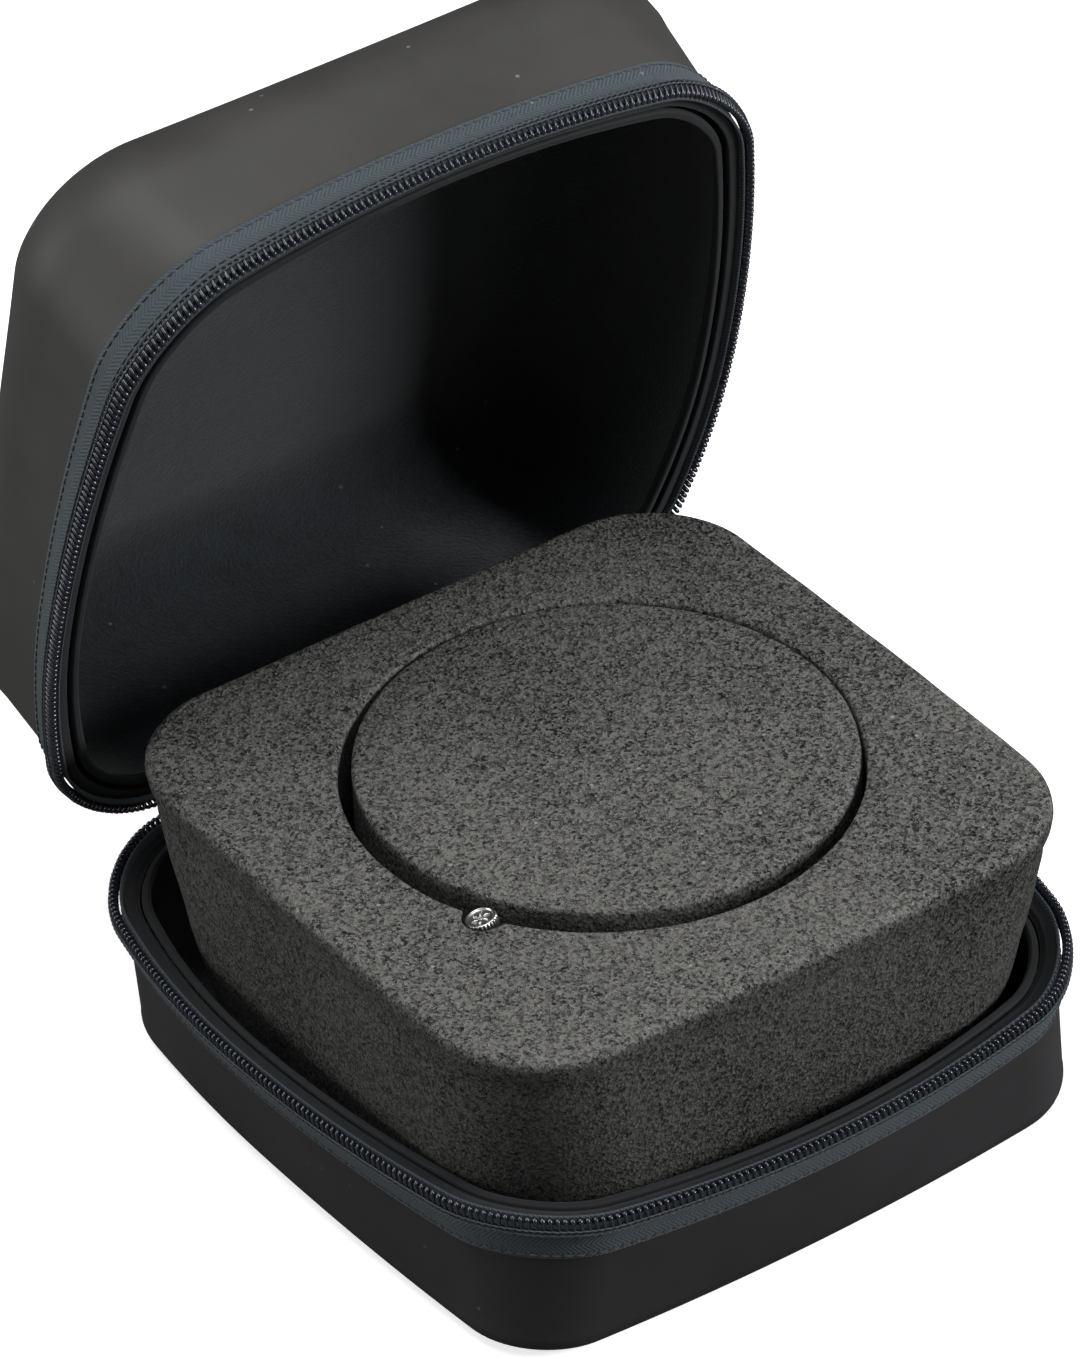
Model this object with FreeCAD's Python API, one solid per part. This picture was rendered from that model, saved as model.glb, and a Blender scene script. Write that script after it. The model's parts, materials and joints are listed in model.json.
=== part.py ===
import FreeCAD, Part
import math
import os

# Zip case with a foam insert, standing open.  Millimetres, +Z up, front at -Y, hinge at +Y.
# The origin is the middle of the flat underside.  Both halves are drawn from one rim outline.

# rim outline, measured on the middle of the zipper coil
HALF_WIDTH = 75.0
FRONT_REACH = 89.0        # from the widest line of the rim to the front edge
REAR_REACH = 60.2         # from the widest line of the rim to the straight rear edge
WIDEST_Y = 14.4           # where the widest line of the rim lies
FRONT_CORNER = 19.6
REAR_CORNER = 20.5
SIDE_BULGE = 11.5
FRONT_BULGE = 10.2
RIM_Z = 34.0              # plane where the two halves meet
REAR_Y = WIDEST_Y + REAR_REACH

# layers of one half, counted inwards from its outer face
RIM_SET_IN = 1.9          # outer skin, measured from the coil line
SKIN = 0.5
CORE = 1.5
LINING = 0.7
LAYER_GAP = 0.05
RIM_COVER_DROP = 2.0      # top of the folded skin below the meeting plane
LINING_LEAN = 1.35        # how far the lining stands off the core at its mouth
LEAN_DEPTH = 12.0
ROLL_WIDTH = 1.6
ROLL_HEIGHT = 1.7
ROLL_DROP = 1.9

# moulded shape of each half: height, wall slope, bottom edge radius, corner radius there, bulge lost
BASE_SHAPE = dict(height=34.0, slope=10.0, edge=6.0, corner=15.0, bulge_lost=0.69)
LID_SHAPE = dict(height=46.5, slope=6.5, edge=22.0, corner=22.0, bulge_lost=1.2)
LID_OPEN = 74.4           # degrees between the two rim planes as it stands

# zipper
TAPE = 0.7
TAPE_GAP = 0.15
TAPE_TOP = 0.9
TAPE_LOW = 10.4
COIL_THICK = 1.7
COIL_TOP = 0.15
COIL_LOW = 4.0
THREAD = 0.35
THREAD_DROP = 9.5
RIM_SEAM_DROP = 5.4
COIL_INSET = RIM_SET_IN - TAPE - TAPE_GAP
CHAIN_START_LEFT = -19.0
CHAIN_START_RIGHT = 40.0
STOP_LENGTH = 3.0

# hinge
HINGE_Y = REAR_Y + 0.7
HINGE_HALF_WIDTH = 14.0
HINGE_CLOTH = 0.8
HINGE_LEAF_LOW = 13.0
HINGE_FOLD_RADIUS = 0.9
HINGE_SEAM_DROPS = (4.6, 11.4)
STITCH_LENGTH = 2.2
STITCH_PITCH = 3.1
STITCH_PROUD = 0.3

# closed end of the chain with the slider, built upright and turned to half the lid's angle
END_OUT = 2.4             # middle of the chain outside the hinge line
END_CHAIN_X = (19.5, 38.5)
END_CHAIN_HALF = 3.9
END_TAB_X = (15.0, 19.3)
END_TAB_THICK = 2.6
SLIDER_X = (20.6, 30.6)
SLIDER_HALF_WIDTH = 4.7
SLIDER_PLATE = 0.9
SLIDER_CHANNEL = 2.5
SLIDER_NOSE = 1.6
SLIDER_NOSE_HALF = 1.0
SLIDER_FLANGE = 0.45
BRIDGE_HEIGHT = 3.2
BRIDGE_THICK = 1.0
BRIDGE_HALF_WIDTH = 1.3
PULLER_LENGTH = 24.0
PULLER_HALF_WIDTH = 3.2
PULLER_THICK = 1.1
PULLER_EYE = 1.75
PULLER_EYE_LENGTH = 4.4
PULLER_PIVOT = 1.2
PULLER_BAR = 0.55

# foam insert
FOAM_TOP = RIM_Z + 31.8
FOAM_HALF_X = 65.2
FOAM_HALF_Y = 65.0
FOAM_FRONT = 63.4         # front and its corners are drawn in, as foam gives way to the rim there
FOAM_FRONT_CORNER = 46.0
FOAM_SIDE_BULGE = 6.0
FOAM_FRONT_BULGE = 4.0
FLOOR_PAD = 3.2
PAD_BOTTOM = SKIN + CORE + LINING + 3 * LAYER_GAP
FOAM_LOW = PAD_BOTTOM + FLOOR_PAD + LAYER_GAP
DISC_LOW = PAD_BOTTOM + FLOOR_PAD + 0.35
FOAM_LEVELS = (           # height, set in from the top outline, corner radius
    (FOAM_LOW, 9.0, 30.0),
    (16.0, 5.2, 30.0),
    (RIM_Z - 6.0, 3.0, 30.0),
    (RIM_Z + 3.0, 1.9, 29.0),
    (RIM_Z + 16.0, 0.9, 25.0),
    (RIM_Z + 27.0, 0.35, 22.6),
    (FOAM_TOP - 1.9, 0.0, 21.9),
    (FOAM_TOP - 0.6, 0.25, 21.7),
    (FOAM_TOP, 1.1, 21.0),
)
HOLE_CENTRE = (2.4, 1.9)
HOLE_RADIUS = 47.5
DISC_CENTRE = (5.2, 4.5)  # pushed to the far side, where the hole gives way to it
DISC_RADIUS = 45.9
DISC_PLAY = 0.35
DISC_EDGE = 0.7
DISC_BELOW = 0.1

# small ribbed metal knob standing in the slot
KNOB_X = -40.4
KNOB_Y = -20.6
KNOB_RADIUS = 3.0
KNOB_HEIGHT = 2.6
KNOB_RIM = 0.45
KNOB_RIBS = 22
KNOB_RIB = 0.28
KNOB_STANDS = 0.2         # middle of its face above the foam's top
KNOB_TILT = 15.0
KNOB_TILT_BEARING = 143.0
KNOB_BOSSES = 6
STEM_RADIUS = 0.9
STEM_LENGTH = 6.0
POCKET_RADIUS = 4.0
POCKET_DEPTH = 12.0

V = FreeCAD.Vector
UP = V(0, 0, 1)
HINGE = V(0, HINGE_Y, RIM_Z)
OPENING_AXIS = V(-1, 0, 0)


def corner_points(sx, sy, half_x, half_y, radius, steps=8):
    """Arc of one corner, in the order that goes round the outline anticlockwise."""
    points = []
    for step in range(steps + 1):
        angle = math.radians(90.0 * step / steps)
        if sx * sy < 0:
            angle = math.radians(90.0) - angle
        points.append((sx * (half_x - radius + radius * math.cos(angle)),
                       sy * (half_y - radius + radius * math.sin(angle))))
    return points


def bulged_outline(half_x, front, rear, r_front, r_rear, side, nose, z, centre_y):
    """Closed smooth wire: a rounded rectangle with bulging sides and front, straight at the rear."""
    corners = [corner_points(1, 1, half_x, rear, r_rear),
               corner_points(-1, 1, half_x, rear, r_rear),
               corner_points(-1, -1, half_x, front, r_front),
               corner_points(1, -1, half_x, front, r_front)]
    points = []
    for index, arc in enumerate(corners):
        points += arc
        start = arc[-1]
        end = corners[(index + 1) % 4][0]
        for step in range(1, 8):
            t = step / 8.0
            points.append((start[0] + (end[0] - start[0]) * t, start[1] + (end[1] - start[1]) * t))
    placed = []
    for x, y in points:
        reach = front if y < 0 else rear
        pull_x = side * (x / half_x) * (y / reach) ** 2
        pull_y = nose * (y / reach) * (x / half_x) ** 2 if y < 0 else 0.0
        placed.append(V(x - pull_x, y - pull_y + centre_y, z))
    curve = Part.BSplineCurve()
    curve.interpolate(placed, PeriodicFlag=True)
    return Part.Wire(curve.toShape())


def half_section(shape, drop, layer, inset=None):
    """Outline of one half at a depth below the meeting plane, a layer inside its outer face."""
    part_way = drop / shape["height"]
    if inset is None:
        inset = RIM_SET_IN + drop * math.tan(math.radians(shape["slope"])) + layer
    bulge = 1.0 - shape["bulge_lost"] * part_way
    r_front = FRONT_CORNER + (shape["corner"] - FRONT_CORNER) * part_way - layer
    r_rear = REAR_CORNER + (shape["corner"] - REAR_CORNER) * part_way - layer
    return bulged_outline(HALF_WIDTH - inset, FRONT_REACH - inset, REAR_REACH - inset,
                          r_front, r_rear, SIDE_BULGE * bulge, FRONT_BULGE * bulge,
                          RIM_Z - drop, WIDEST_Y)


def bowl(shape, layer, top, lean=0.0):
    """Solid bowl of one half, from its mouth down to its rounded bottom."""
    edge_start = shape["height"] - shape["edge"]
    radius = shape["edge"] - layer
    arc_centre = RIM_SET_IN + edge_start * math.tan(math.radians(shape["slope"])) + shape["edge"]
    wires = []
    for part_way in (0.0, 0.12, 0.25, 0.45, 0.7, 1.0):
        drop = top + (edge_start - top) * part_way
        leaning = lean * max(0.0, 1.0 - (drop - top) / LEAN_DEPTH) ** 2
        wires.append(half_section(shape, drop, layer + leaning))
    for degrees in (18.0, 36.0, 54.0, 72.0, 90.0):
        angle = math.radians(degrees)
        wires.append(half_section(shape, edge_start + radius * math.sin(angle), layer,
                                  arc_centre - radius * math.cos(angle)))
    return Part.makeLoft(wires, True, False)


def mouth_plug(shape, layer, top, low):
    """Upright plug that opens a bowl's mouth."""
    wires = [half_section(shape, top, layer), half_section(shape, low, layer)]
    return Part.makeLoft(wires, True, True)


def band(shape, outside, inside, top, low):
    """Ring between two layers of one half, between two depths."""
    steps = (0.0, 0.5, 1.0)
    rings = []
    for layer in (outside, inside):
        wires = []
        for step in steps:
            wires.append(half_section(shape, top + (low - top) * step, layer))
        rings.append(Part.makeLoft(wires, True, False))
    return rings[0].cut(rings[1])


def open_rear(ring, x_low, x_high):
    """Take the rear stretch out of a ring, where the hinge and the chain's end are."""
    reach = 60.0
    gap = Part.makeBox(x_high - x_low, reach, 4 * reach, V(x_low, REAR_Y - reach / 3, -reach))
    return ring.cut(gap)


def upright_ring(shape, outside, inside):
    """Ring with an upright section that follows the wall, for the coil along the edge."""
    rings = []
    for inset in (outside, inside):
        wires = [half_section(shape, drop, inset, inset) for drop in (COIL_TOP, COIL_LOW)]
        rings.append(Part.makeLoft(wires, True, True))
    return rings[0].cut(rings[1])


def make_half(shape):
    """All the layers of one half, drawn as the lower half with its mouth up."""
    core_out = SKIN + LAYER_GAP
    core_in = SKIN + CORE
    line_out = core_in + LAYER_GAP
    line_in = line_out + LINING
    core_top = RIM_COVER_DROP + SKIN + LAYER_GAP
    mouth = mouth_plug(shape, core_in, RIM_COVER_DROP - 1.0, core_top + 1.0)
    skin = bowl(shape, 0.0, RIM_COVER_DROP).cut(bowl(shape, SKIN, RIM_COVER_DROP + SKIN)).cut(mouth)
    core = bowl(shape, core_out, core_top).cut(bowl(shape, core_in, core_top - 1.0))
    roll_low = ROLL_DROP + ROLL_HEIGHT
    lining_top = roll_low + LAYER_GAP
    lining = bowl(shape, line_out, lining_top, LINING_LEAN)
    lining = lining.cut(bowl(shape, line_in, lining_top - 0.3, LINING_LEAN))
    roll_out = line_out + LINING_LEAN - (ROLL_WIDTH - LINING) / 2
    roll = band(shape, roll_out, roll_out + ROLL_WIDTH, ROLL_DROP, roll_low)
    tape = band(shape, -TAPE, -TAPE_GAP, TAPE_TOP, TAPE_LOW)
    coil = upright_ring(shape, COIL_INSET - COIL_THICK, COIL_INSET)
    threads = [band(shape, -TAPE - THREAD, -TAPE - LAYER_GAP, drop - THREAD, drop + THREAD)
               for drop in (THREAD_DROP, RIM_SEAM_DROP)]
    seam = threads[0].fuse(threads[1])
    return dict(skin=skin, core=core, lining=lining, roll=roll, tape=tape, coil=coil, seam=seam)


def chain_stops(x_edges):
    """Metal stops crimped over the free ends of the coil."""
    y_in = REAR_Y - COIL_INSET
    y_out = y_in + COIL_THICK
    stops = []
    for x_low in x_edges:
        stops.append(Part.makeBox(STOP_LENGTH, y_out - y_in, COIL_LOW - COIL_TOP,
                                  V(x_low, y_in, RIM_Z - COIL_LOW)))
    return stops


def hinge_leaf(slope_deg):
    """Cloth leaf sewn to the rear wall, with its upper part leaning out to the hinge line."""
    slope = math.tan(math.radians(slope_deg))
    foot_y = REAR_Y - RIM_SET_IN - HINGE_LEAF_LOW * slope + TAPE_GAP
    shoulder_y = REAR_Y - RIM_SET_IN - RIM_COVER_DROP * slope + TAPE_GAP
    tip_y = HINGE_Y - HINGE_CLOTH / 2
    tip_z = RIM_Z - HINGE_FOLD_RADIUS - 0.1
    points = [V(0, foot_y, RIM_Z - HINGE_LEAF_LOW),
              V(0, shoulder_y, RIM_Z - RIM_COVER_DROP - 0.4),
              V(0, tip_y, tip_z),
              V(0, tip_y + HINGE_CLOTH, tip_z),
              V(0, shoulder_y + HINGE_CLOTH, RIM_Z - RIM_COVER_DROP - 1.1),
              V(0, foot_y + HINGE_CLOTH, RIM_Z - HINGE_LEAF_LOW)]
    face = Part.Face(Part.makePolygon(points + [points[0]]))
    face.translate(V(-HINGE_HALF_WIDTH, 0, 0))
    return face.extrude(V(2 * HINGE_HALF_WIDTH, 0, 0))


def hinge_stitches(slope_deg):
    """Two rows of short stitches across the hinge leaf."""
    slope = math.tan(math.radians(slope_deg))
    stitches = []
    count = int((2 * HINGE_HALF_WIDTH - 2) / STITCH_PITCH)
    first = -STITCH_PITCH * (count - 1) / 2.0
    for drop in HINGE_SEAM_DROPS:
        y = REAR_Y - RIM_SET_IN - drop * slope + TAPE_GAP + HINGE_CLOTH + STITCH_PROUD
        for index in range(count):
            x = first + index * STITCH_PITCH - STITCH_LENGTH / 2
            stitches.append(Part.makeBox(STITCH_LENGTH, THREAD, THREAD, V(x, y, RIM_Z - drop)))
    return Part.makeCompound(stitches)


def to_lid(shape):
    """Turn a lower-half shape over the meeting plane and swing it open."""
    flipped = shape.mirror(V(0, 0, RIM_Z), UP)
    flipped.rotate(HINGE, OPENING_AXIS, LID_OPEN)
    return flipped


def to_half_angle(shape):
    """Turn a shape drawn for the closed case to half the lid's angle."""
    turned = shape.copy()
    turned.rotate(HINGE, OPENING_AXIS, LID_OPEN / 2)
    return turned


def make_slider():
    """Slider body: two plates, a nose post between them and a bridge for the puller."""
    mid = HINGE_Y + END_OUT
    x_low, x_high = SLIDER_X
    length = x_high - x_low
    inner_y = mid - SLIDER_CHANNEL / 2 - SLIDER_PLATE
    outer_y = mid + SLIDER_CHANNEL / 2
    width = 2 * SLIDER_HALF_WIDTH
    plates = []
    for y in (inner_y, outer_y):
        plate = Part.makeBox(length, SLIDER_PLATE, width, V(x_low, y, RIM_Z - SLIDER_HALF_WIDTH))
        upright = [edge for edge in plate.Edges
                   if abs(edge.BoundBox.YLength - SLIDER_PLATE) < 1e-6 and edge.BoundBox.ZLength < 1e-6]
        plates.append(plate.makeFillet(1.5, upright))
    body = plates[0].fuse(plates[1])
    for side in (-1, 1):
        z = RIM_Z + side * SLIDER_HALF_WIDTH - (SLIDER_FLANGE if side > 0 else 0.0)
        flange = Part.makeBox(length - 4.0, 0.6, SLIDER_FLANGE, V(x_low + 2.0, outer_y - 0.6, z))
        body = body.fuse(flange)
    nose = Part.makeBox(SLIDER_NOSE, SLIDER_CHANNEL, 2 * SLIDER_NOSE_HALF,
                        V(x_high - 0.2, outer_y - SLIDER_CHANNEL, RIM_Z - SLIDER_NOSE_HALF))
    lip = Part.makeBox(SLIDER_NOSE + 1.4, SLIDER_PLATE, 4.0, V(x_high - 1.6, inner_y, RIM_Z - 2.0))
    lip_out = Part.makeBox(SLIDER_NOSE + 1.4, SLIDER_PLATE, 4.0, V(x_high - 1.6, outer_y, RIM_Z - 2.0))
    body = body.fuse(nose).fuse(lip).fuse(lip_out)
    top = outer_y + SLIDER_PLATE
    middle = (x_low + x_high) / 2
    arch = Part.makeCylinder(BRIDGE_HEIGHT, 2 * BRIDGE_HALF_WIDTH, V(middle, top, RIM_Z - BRIDGE_HALF_WIDTH), UP)
    eye = Part.makeCylinder(BRIDGE_HEIGHT - BRIDGE_THICK, 4.0, V(middle, top, RIM_Z - 2.0), UP)
    below = Part.makeBox(3 * BRIDGE_HEIGHT, BRIDGE_HEIGHT + 1, 4.0,
                         V(middle - 1.5 * BRIDGE_HEIGHT, top - BRIDGE_HEIGHT - 1.0, RIM_Z - 2.0))
    body = body.fuse(arch.cut(eye).cut(below))
    return body.removeSplitter()


def puller_axis_point():
    """Point where the puller's cross bar turns inside the slider's bridge."""
    top = HINGE_Y + END_OUT + SLIDER_CHANNEL / 2 + SLIDER_PLATE
    return V((SLIDER_X[0] + SLIDER_X[1]) / 2, top + PULLER_PIVOT, RIM_Z)


def make_puller():
    """Flat puller that hangs straight out from the slider on its cross bar."""
    pivot = puller_axis_point()
    bar = Part.makeCylinder(PULLER_BAR, 2 * PULLER_HALF_WIDTH - 0.8,
                            V(pivot.x, pivot.y, pivot.z - PULLER_HALF_WIDTH + 0.4), UP)
    plate = Part.makeBox(PULLER_THICK, PULLER_LENGTH, 2 * PULLER_HALF_WIDTH,
                         V(pivot.x - PULLER_THICK / 2, pivot.y - PULLER_BAR, pivot.z - PULLER_HALF_WIDTH))
    ends = [edge for edge in plate.Edges
            if abs(edge.BoundBox.XLength - PULLER_THICK) < 1e-6 and edge.BoundBox.YMin > pivot.y + 5]
    plate = plate.makeFillet(2.4, ends)
    window = Part.makeBox(4.0, PULLER_EYE_LENGTH, 2 * PULLER_EYE,
                          V(pivot.x - 2.0, pivot.y - 1.0, pivot.z - PULLER_EYE))
    grip = Part.makeCylinder(1.5, 8.0, V(pivot.x - 4.0, pivot.y + PULLER_LENGTH - 4.2, pivot.z), V(1, 0, 0))
    return plate.cut(window).cut(grip).fuse(bar).removeSplitter()


def make_end_chain():
    """Short meshed end of the chain, and the cloth tab folded over it."""
    mid = HINGE_Y + END_OUT
    chain = Part.makeBox(END_CHAIN_X[1] - END_CHAIN_X[0], COIL_THICK, 2 * END_CHAIN_HALF,
                         V(END_CHAIN_X[0], mid - COIL_THICK / 2, RIM_Z - END_CHAIN_HALF))
    parting = SLIDER_NOSE_HALF + 0.35
    chain = chain.cut(Part.makeBox(END_CHAIN_X[1] - SLIDER_X[1] + 1.0, COIL_THICK, 2 * parting,
                                   V(SLIDER_X[1] - 0.6, mid - COIL_THICK / 2, RIM_Z - parting)))
    tab = Part.makeBox(END_TAB_X[1] - END_TAB_X[0], END_TAB_THICK, 2 * END_CHAIN_HALF,
                       V(END_TAB_X[0], mid - END_TAB_THICK / 2, RIM_Z - END_CHAIN_HALF))
    return chain, tab


def foam_outline(inset, radius, z):
    """Square foam outline with soft sides and eased front corners."""
    return bulged_outline(FOAM_HALF_X - inset, FOAM_FRONT - inset, FOAM_HALF_Y - inset,
                          FOAM_FRONT_CORNER - inset, radius, FOAM_SIDE_BULGE, FOAM_FRONT_BULGE, z, 0.0)


def make_foam():
    """Foam ring block, the pad under it and the loose round disc."""
    wires = [foam_outline(inset, radius, z) for z, inset, radius in FOAM_LEVELS]
    block = Part.makeLoft(wires, True, False)
    hole = Part.makeCylinder(HOLE_RADIUS, 2 * FOAM_TOP, V(HOLE_CENTRE[0], HOLE_CENTRE[1], -10))
    block = block.cut(hole)
    give = Part.makeCylinder(DISC_RADIUS + DISC_PLAY, 2 * FOAM_TOP, V(DISC_CENTRE[0], DISC_CENTRE[1], -10))
    block = block.cut(give)
    pocket = Part.makeCylinder(POCKET_RADIUS, POCKET_DEPTH + 1.0, V(KNOB_X, KNOB_Y, FOAM_TOP - POCKET_DEPTH))
    block = block.cut(pocket)
    pad_wires = []
    for z, inset in ((PAD_BOTTOM, 11.5), (PAD_BOTTOM + 1.2, 10.4), (PAD_BOTTOM + FLOOR_PAD, 9.6)):
        pad_wires.append(foam_outline(inset, 30.0, z))
    pad = Part.makeLoft(pad_wires, True, False)
    disc = Part.makeCylinder(DISC_RADIUS, FOAM_TOP - DISC_BELOW - DISC_LOW,
                             V(DISC_CENTRE[0], DISC_CENTRE[1], DISC_LOW))
    rim = [edge for edge in disc.Edges if edge.BoundBox.ZMin > FOAM_TOP - 1 and edge.BoundBox.ZLength < 0.01]
    disc = disc.makeFillet(DISC_EDGE, rim)
    return block, pad, disc


def knob_point():
    """Middle of the knob's face."""
    return V(KNOB_X, KNOB_Y, FOAM_TOP + KNOB_STANDS)


def make_knob():
    """Ribbed knob with a raised rim and plain bosses on its face, and its stem."""
    head = Part.makeCylinder(KNOB_RADIUS, KNOB_HEIGHT, V(0, 0, -KNOB_HEIGHT))
    for index in range(KNOB_RIBS):
        angle = 2 * math.pi * index / KNOB_RIBS
        spot = V((KNOB_RADIUS + 0.05) * math.cos(angle), (KNOB_RADIUS + 0.05) * math.sin(angle), -KNOB_HEIGHT - 1)
        head = head.cut(Part.makeCylinder(KNOB_RIB, KNOB_HEIGHT + 0.6, spot))
    head = head.cut(Part.makeCylinder(KNOB_RADIUS - KNOB_RIM, 0.3, V(0, 0, -0.3)))
    for index in range(KNOB_BOSSES):
        angle = 2 * math.pi * index / KNOB_BOSSES
        spot = V(1.5 * math.cos(angle), 1.5 * math.sin(angle), -0.35)
        head = head.fuse(Part.makeCylinder(0.42, 0.3, spot))
    head = head.fuse(Part.makeCylinder(0.6, 0.33, V(0, 0, -0.35)))
    stem = Part.makeCylinder(STEM_RADIUS, STEM_LENGTH, V(0, 0, -KNOB_HEIGHT - STEM_LENGTH))
    lean = math.radians(KNOB_TILT_BEARING)
    tilt_axis = V(-math.sin(lean), math.cos(lean), 0)
    placed = []
    for shape in (head, stem):
        shape.rotate(V(0, 0, 0), tilt_axis, KNOB_TILT)
        shape.translate(knob_point())
        placed.append(shape)
    return placed


def save(name, shape):
    """Write one named piece."""
    shape.exportStep(os.path.join("parts", name + ".step"))


def main():
    os.makedirs("parts", exist_ok=True)
    names = dict(skin="outer_skin", core="shell", lining="lining", roll="rim_roll",
                 tape="zipper_tape", coil="zipper_coil", seam="tape_seam")
    rings = ("tape", "coil", "seam")
    for prefix, shape, place in (("base", BASE_SHAPE, None), ("lid", LID_SHAPE, to_lid)):
        for key, solid in make_half(shape).items():
            if key in rings:
                left = CHAIN_START_LEFT if key != "coil" else CHAIN_START_LEFT - STOP_LENGTH
                solid = open_rear(solid, left, CHAIN_START_RIGHT)
            if place:
                solid = place(solid)
            save(prefix + "_" + names[key], solid)
        stops = Part.makeCompound(chain_stops((CHAIN_START_LEFT - STOP_LENGTH,)))
        leaf = hinge_leaf(shape["slope"])
        stitches = hinge_stitches(shape["slope"])
        if place:
            stops = place(stops)
            leaf = place(leaf)
            stitches = place(stitches)
        save(prefix + "_zipper_stop", stops)
        save(prefix + "_hinge_leaf", leaf)
        save(prefix + "_hinge_stitches", stitches)
    fold = Part.makeCylinder(HINGE_FOLD_RADIUS, 2 * HINGE_HALF_WIDTH,
                             V(-HINGE_HALF_WIDTH, HINGE_Y, RIM_Z), V(1, 0, 0))
    save("hinge_fold", fold)
    chain, tab = make_end_chain()
    save("zipper_end_chain", to_half_angle(chain))
    save("zipper_end_tab", to_half_angle(tab))
    save("zipper_slider", to_half_angle(make_slider()))
    save("zipper_puller", to_half_angle(make_puller()))
    block, pad, disc = make_foam()
    save("foam_block", block)
    save("foam_floor_pad", pad)
    save("foam_disc", disc)
    head, stem = make_knob()
    save("knob_head", head)
    save("knob_stem", stem)


if __name__ == "__main__":
    main()
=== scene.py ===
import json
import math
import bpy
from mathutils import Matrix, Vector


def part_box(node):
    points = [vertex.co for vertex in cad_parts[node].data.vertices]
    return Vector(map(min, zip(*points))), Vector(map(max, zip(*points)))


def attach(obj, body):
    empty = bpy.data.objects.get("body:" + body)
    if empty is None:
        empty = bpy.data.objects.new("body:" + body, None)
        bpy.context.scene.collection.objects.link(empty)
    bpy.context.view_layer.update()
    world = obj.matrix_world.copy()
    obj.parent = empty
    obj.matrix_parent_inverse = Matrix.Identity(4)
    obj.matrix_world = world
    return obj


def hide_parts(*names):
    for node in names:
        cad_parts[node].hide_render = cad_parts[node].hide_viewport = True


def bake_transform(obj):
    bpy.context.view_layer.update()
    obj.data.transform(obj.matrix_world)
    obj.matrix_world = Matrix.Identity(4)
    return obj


bl_info = {
    "name": "Zip carry case",
    "version": (1, 0, 0),
    "blender": (4, 5, 0),
    "location": "View3D > Sidebar > Carry case",
    "description": "Dresses the CAD frame of a small zip case with a foam insert",
    "category": "Object",
}

import bmesh
import bpy
from mathutils import Matrix, Vector
from bpy.props import FloatProperty, FloatVectorProperty, PointerProperty

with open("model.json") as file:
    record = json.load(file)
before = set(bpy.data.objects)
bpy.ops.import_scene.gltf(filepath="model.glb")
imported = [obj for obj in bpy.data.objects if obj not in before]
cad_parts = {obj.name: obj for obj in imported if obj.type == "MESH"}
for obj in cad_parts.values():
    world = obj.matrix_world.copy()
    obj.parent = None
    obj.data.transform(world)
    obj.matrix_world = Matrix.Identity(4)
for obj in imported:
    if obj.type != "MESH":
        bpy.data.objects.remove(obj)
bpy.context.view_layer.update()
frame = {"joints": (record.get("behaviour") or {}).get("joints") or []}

MM = 0.001
AROUND = 320              # points round each half
BASE, LID = "case_base", "lid"

# rim outline and moulded shape of each half, in millimetres, as the CAD frame has them
HALF_WIDTH, FRONT_REACH, REAR_REACH, WIDEST_Y = 75.0, 89.0, 60.2, 14.4
FRONT_CORNER, REAR_CORNER, SIDE_BULGE, FRONT_BULGE = 19.6, 20.5, 11.5, 10.2
RIM_SET_IN = 1.9
SHAPES = {
    BASE: dict(height=34.0, slope=10.0, edge=6.0, corner=15.0, bulge_lost=0.69),
    LID: dict(height=46.5, slope=6.5, edge=22.0, corner=22.0, bulge_lost=1.2),
}
PREFIX = {BASE: "base", LID: "lid"}
CHAIN_LEFT, CHAIN_RIGHT, STOP_LENGTH = -19.0, 40.0, 3.0
COIL_OFF, COIL_THICK, COIL_PITCH = 0.85, 1.7, 1.32   # off the wall, across, loop to loop


def joint(name):
    return next(j for j in frame["joints"] if j["name"] == name)


HINGE = Vector(joint("lid_hinge")["pos_m"]) / MM
RIM_Z = HINGE.z
LID_OPEN = -math.radians(joint("lid_hinge")["range_deg"][0])
REAR_Y = WIDEST_Y + REAR_REACH


# ---------------------------------------------------------------- shapes

def outline(half_x, front, rear, r_front, r_rear, side, nose, centre_y, count=AROUND):
    """Points evenly spaced round the bulged rounded rectangle, from the middle of the rear, clockwise."""
    source = [(0.0, rear)]
    corners = ((1, 1, rear, r_rear), (1, -1, front, r_front), (-1, -1, front, r_front), (-1, 1, rear, r_rear))
    for sx, sy, reach, radius in corners:
        arc = []
        for step in range(25):
            angle = math.radians(90.0 * step / 24)
            if sx * sy > 0:
                angle = math.pi / 2 - angle
            arc.append((sx * (half_x - radius + radius * math.cos(angle)),
                        sy * (reach - radius + radius * math.sin(angle))))
        start = source[-1]
        for step in range(1, 16):
            t = step / 16
            source.append((start[0] + (arc[0][0] - start[0]) * t, start[1] + (arc[0][1] - start[1]) * t))
        source += arc
    start = source[-1]
    for step in range(1, 17):
        t = step / 16
        source.append((start[0] * (1 - t), start[1] * (1 - t) + rear * t))
    warped = []
    for x, y in source:
        reach = front if y < 0 else rear
        pull_y = nose * (y / reach) * (x / half_x) ** 2 if y < 0 else 0.0
        warped.append(Vector((x - side * (x / half_x) * (y / reach) ** 2, y - pull_y + centre_y)))
    return resample(warped, count)


def resample(points, count):
    """Evenly spaced points along a polyline whose last point repeats its first."""
    lengths = [0.0]
    for a, b in zip(points, points[1:]):
        lengths.append(lengths[-1] + (b - a).length)
    spaced = []
    index = 0
    for step in range(count):
        want = lengths[-1] * step / count
        while lengths[index + 1] < want:
            index += 1
        t = (want - lengths[index]) / max(lengths[index + 1] - lengths[index], 1e-9)
        spaced.append(points[index].lerp(points[index + 1], t))
    return spaced


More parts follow.
